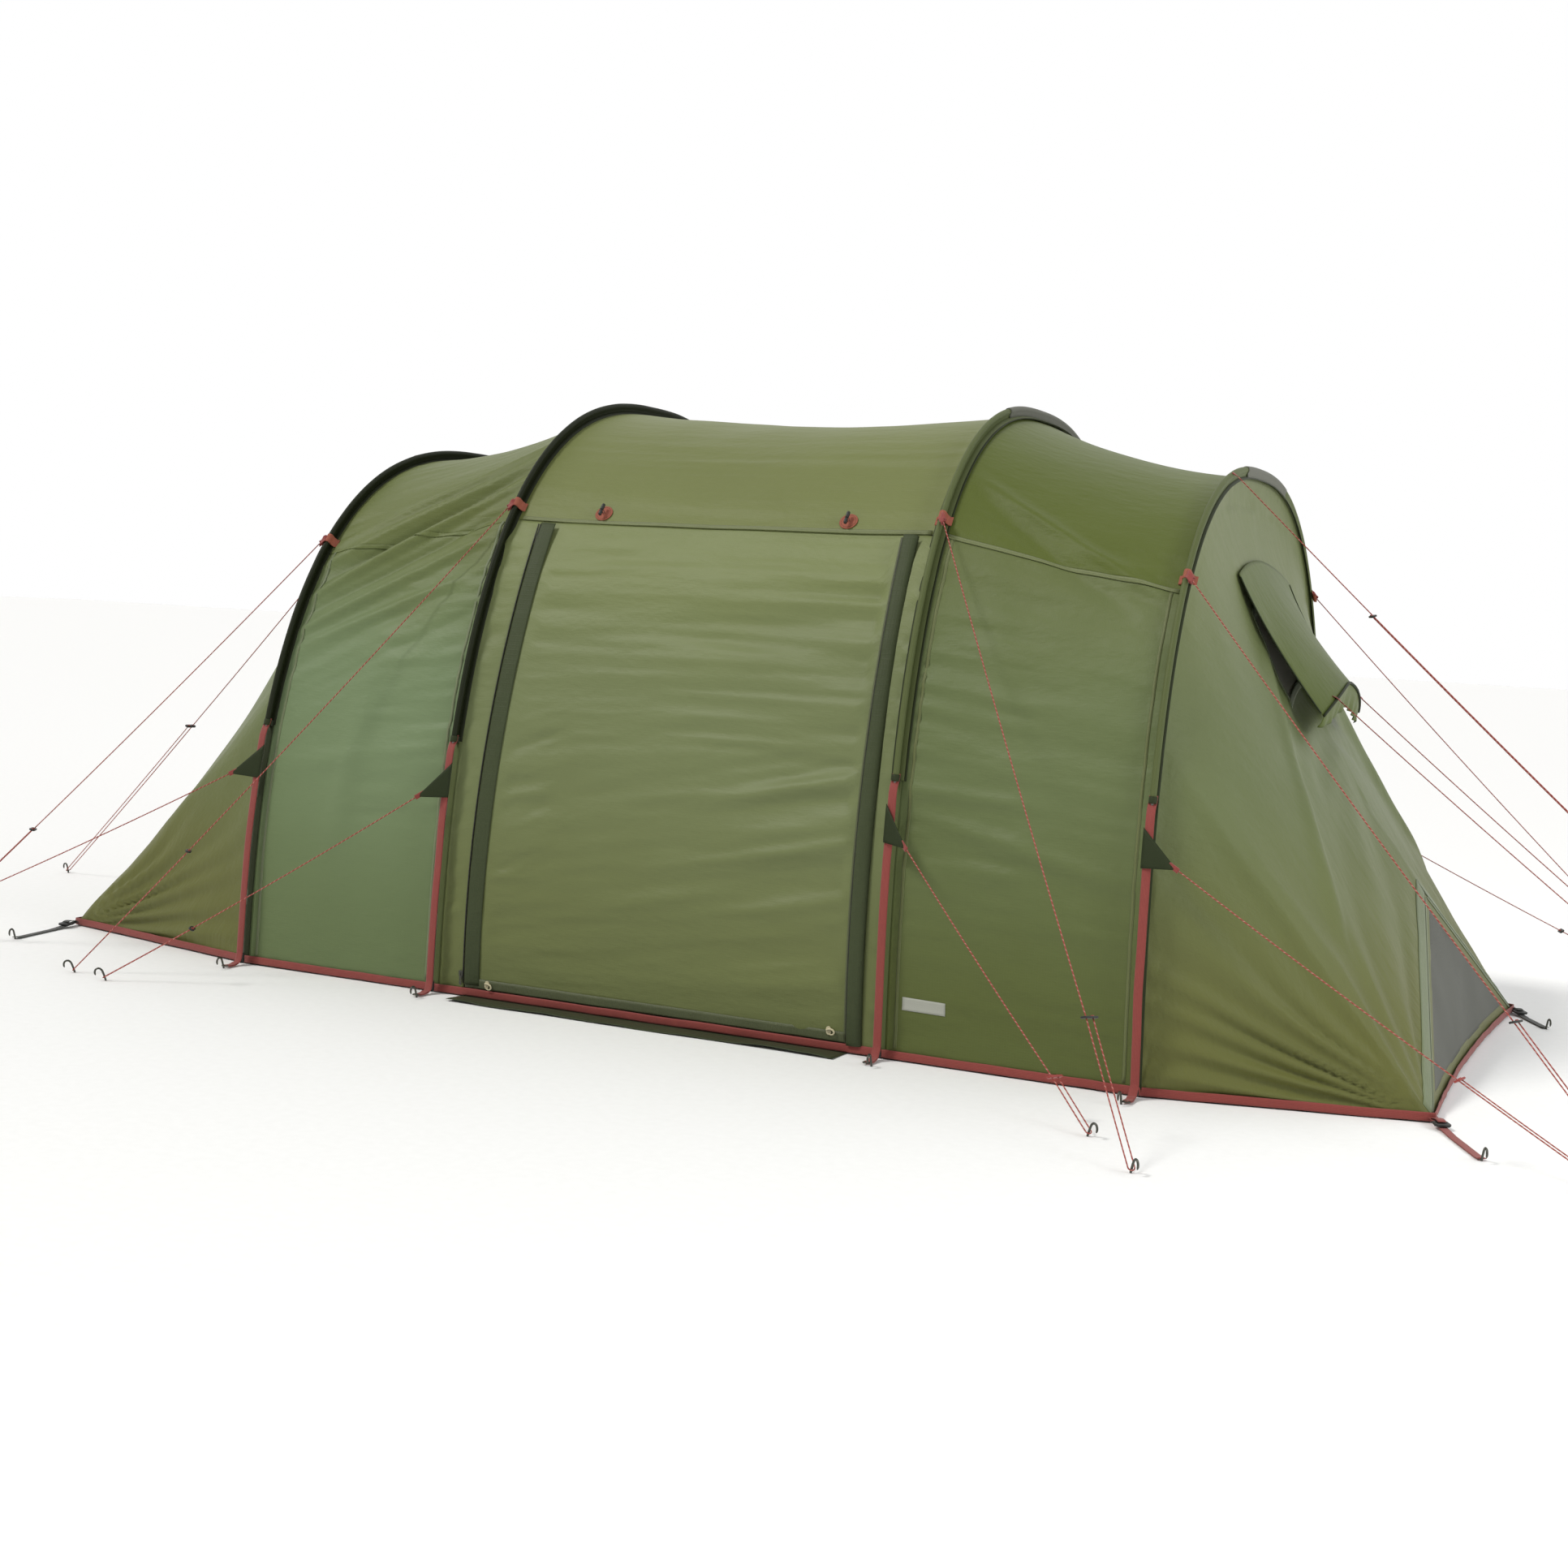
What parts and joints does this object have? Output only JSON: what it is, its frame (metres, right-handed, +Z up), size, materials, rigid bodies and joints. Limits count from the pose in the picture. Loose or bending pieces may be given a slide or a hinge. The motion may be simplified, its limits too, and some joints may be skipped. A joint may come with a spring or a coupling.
{
  "type": "tunnel tent",
  "caption": "Tunnel tent on arched poles with a side door, a hooded end vent, sloping ends, hung sleeping cabins and guy lines.",
  "frame": {"origin": "on the ground at the middle of the tent's footprint", "axes": "+X along the tunnel to the end with the hooded vent, -Y to the door side, +Z up"},
  "size_m": [5.6821, 3.1006, 1.6584],
  "materials": {
    "pole": "satin anodised tube",
    "sleeve_dark": "near-black green pole sleeve cloth",
    "sleeve_olive": "dark olive cloth",
    "fly_roof": "coated olive fly cloth with a soft sheen",
    "fly_side": "coated olive fly cloth, slightly cooler green",
    "cord": "braided red line",
    "webbing": "woven red webbing",
    "mesh": "dark grey net",
    "cabin_cloth": "breathable pale cloth",
    "floor_cloth": "heavy coated floor cloth",
    "hardware": "moulded nylon"
  },
  "bodies": {
    "root": {"pole_1": "pole", "pole_2": "pole", "pole_3": "pole", "pole_4": "pole", "sleeve_1": "sleeve_dark", "sleeve_2": "sleeve_dark", "sleeve_3": "sleeve_olive", "sleeve_4": "sleeve_olive", "left_end": "fly_side", "right_end": "fly_side", "left_end_panel": "fly_side", "right_end_mesh": "mesh", "left_wall_near": "fly_side", "right_wall_near": "fly_side", "left_wall_far": "fly_side", "mid_wall_far": "fly_side", "right_wall_far": "fly_side", "left_roof": "fly_roof", "mid_roof": "fly_roof", "right_roof": "fly_roof", "vent_mesh": "mesh", "door_side_left": "sleeve_olive", "door_side_right": "sleeve_olive", "foot_strap_1_near": "webbing", "foot_strap_1_far": "webbing", "foot_strap_2_near": "webbing", "foot_strap_2_far": "webbing", "foot_strap_3_near": "webbing", "foot_strap_3_far": "webbing", "foot_strap_4_near": "webbing", "foot_strap_4_far": "webbing", "groundsheet": "floor_cloth", "cabin_left": "cabin_cloth", "cabin_right": "cabin_cloth", "guy_near_1_upper": "cord", "guy_near_1_lower": "cord", "guy_near_2_upper": "cord", "guy_near_2_lower": "cord", "guy_near_3_upper": "cord", "guy_near_3_lower": "cord", "guy_near_4_upper": "cord", "guy_near_4_lower": "cord", "guy_far_1_upper": "cord", "guy_far_1_lower": "cord", "guy_far_2_upper": "cord", "guy_far_3_upper": "cord", "guy_far_4_upper": "cord", "guy_far_4_lower": "cord", "guy_top_1": "cord", "guy_top_4": "cord", "guy_hood_near": "cord", "guy_hood_far": "cord"},
    "door": {"door_panel": "fly_side"},
    "slider_left": {"zip_slider_left": "hardware"},
    "slider_right": {"zip_slider_right": "hardware"},
    "toggle_left": {"door_toggle_left": "hardware"},
    "toggle_right": {"door_toggle_right": "hardware"},
    "hood": {"vent_hood": "fly_roof"},
    "cabin_door_left": {"cabin_door_left": "cabin_cloth"},
    "cabin_door_right": {"cabin_door_right": "cabin_cloth"}
  },
  "joints": [
    {"name": "door_fold", "type": "hinge", "parent": "root", "child": "door", "pos_m": [0, -0.75824, 1.2713], "axis": [-1, 0, 0], "range_deg": [0, 90]},
    {"name": "zip_left", "type": "hinge", "parent": "root", "child": "slider_left", "pos_m": [-0.48044, 1.44625, 0.18968], "axis": [-0.9998, 0, 0.0188], "range_deg": [0, 28.38]},
    {"name": "zip_right", "type": "hinge", "parent": "root", "child": "slider_right", "pos_m": [0.64044, 1.44625, 0.18968], "axis": [-0.9998, 0, -0.0188], "range_deg": [0, 28.38]},
    {"name": "toggle_left_swing", "type": "hinge", "parent": "root", "child": "toggle_left", "pos_m": [-0.2784, -0.73468, 1.30916], "axis": [0, -0.8119, 0.5837], "range_deg": [-70, 70]},
    {"name": "toggle_right_swing", "type": "hinge", "parent": "root", "child": "toggle_right", "pos_m": [0.4384, -0.73468, 1.30916], "axis": [0, -0.8119, 0.5837], "range_deg": [-70, 70]},
    {"name": "hood_fold", "type": "hinge", "parent": "root", "child": "hood", "pos_m": [1.33511, 0, 1.26702], "axis": [0, 1, 0], "range_deg": [0, 4]},
    {"name": "cabin_door_left_swing", "type": "hinge", "parent": "root", "child": "cabin_door_left", "pos_m": [-0.59575, 0.15, 0.57], "axis": [0, 0, 1], "range_deg": [0, 90]},
    {"name": "cabin_door_right_swing", "type": "hinge", "parent": "root", "child": "cabin_door_right", "pos_m": [0.75575, -0.15, 0.57], "axis": [0, 0, 1], "range_deg": [0, 90]}
  ]
}
